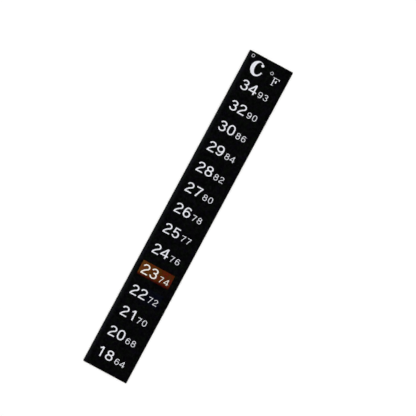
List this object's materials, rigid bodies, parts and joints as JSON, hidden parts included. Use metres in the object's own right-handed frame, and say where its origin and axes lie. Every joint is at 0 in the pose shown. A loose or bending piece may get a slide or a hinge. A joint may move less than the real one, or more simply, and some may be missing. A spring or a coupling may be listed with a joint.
{
  "type": "aquarium thermometer strip",
  "caption": "Flat stick-on liquid crystal thermometer strip: white Celsius and Fahrenheit numbers on black, lit at the present temperature, on a peel-off liner.",
  "frame": {"origin": "centre of the release liner's underside, the face that lies on a table", "axes": "+X across the strip towards the Fahrenheit numbers, +Y along it towards the unit letters, +Z out of the printed face"},
  "size_m": [0.018, 0.13, 0.0004],
  "materials": {
    "clear_film": "clear polyester film, glossy, lightly mottled",
    "white_ink": "screen-printed white ink under the film",
    "black_ink": "dense black backing coat",
    "dark_crystal": "liquid crystal coat away from its temperature, almost clear over black",
    "lit_crystal": "liquid crystal coat at its temperature, mottled olive brown to dark red",
    "adhesive": "milky pressure-sensitive acrylic adhesive",
    "liner_paper": "siliconised kraft release paper, fine fibre"
  },
  "bodies": {
    "liner": {"release_liner": "liner_paper"},
    "strip": {"adhesive_layer": "adhesive", "black_backing": "black_ink", "crystal_cell_34": "dark_crystal", "crystal_cell_32": "dark_crystal", "crystal_cell_30": "dark_crystal", "crystal_cell_29": "dark_crystal", "crystal_cell_28": "dark_crystal", "crystal_cell_27": "dark_crystal", "crystal_cell_26": "dark_crystal", "crystal_cell_25": "dark_crystal", "crystal_cell_24": "dark_crystal", "crystal_cell_23": "lit_crystal", "crystal_cell_22": "dark_crystal", "crystal_cell_21": "dark_crystal", "crystal_cell_20": "dark_crystal", "crystal_cell_18": "dark_crystal", "celsius_34": "white_ink", "celsius_32": "white_ink", "celsius_30": "white_ink", "celsius_29": "white_ink", "celsius_28": "white_ink", "celsius_27": "white_ink", "celsius_26": "white_ink", "celsius_25": "white_ink", "celsius_24": "white_ink", "celsius_23": "white_ink", "celsius_22": "white_ink", "celsius_21": "white_ink", "celsius_20": "white_ink", "celsius_18": "white_ink", "fahrenheit_93": "white_ink", "fahrenheit_90": "white_ink", "fahrenheit_86": "white_ink", "fahrenheit_84": "white_ink", "fahrenheit_82": "white_ink", "fahrenheit_80": "white_ink", "fahrenheit_78": "white_ink", "fahrenheit_77": "white_ink", "fahrenheit_76": "white_ink", "fahrenheit_74": "white_ink", "fahrenheit_72": "white_ink", "fahrenheit_70": "white_ink", "fahrenheit_68": "white_ink", "fahrenheit_64": "white_ink", "celsius_letter": "white_ink", "celsius_degree_ring": "white_ink", "fahrenheit_letter": "white_ink", "fahrenheit_degree_ring": "white_ink", "face_film": "clear_film"}
  },
  "joints": [
    {"name": "strip_lift_off", "type": "slide", "parent": "liner", "child": "strip", "axis": [0, 0, 1], "range_m": [0, 0.025]}
  ]
}
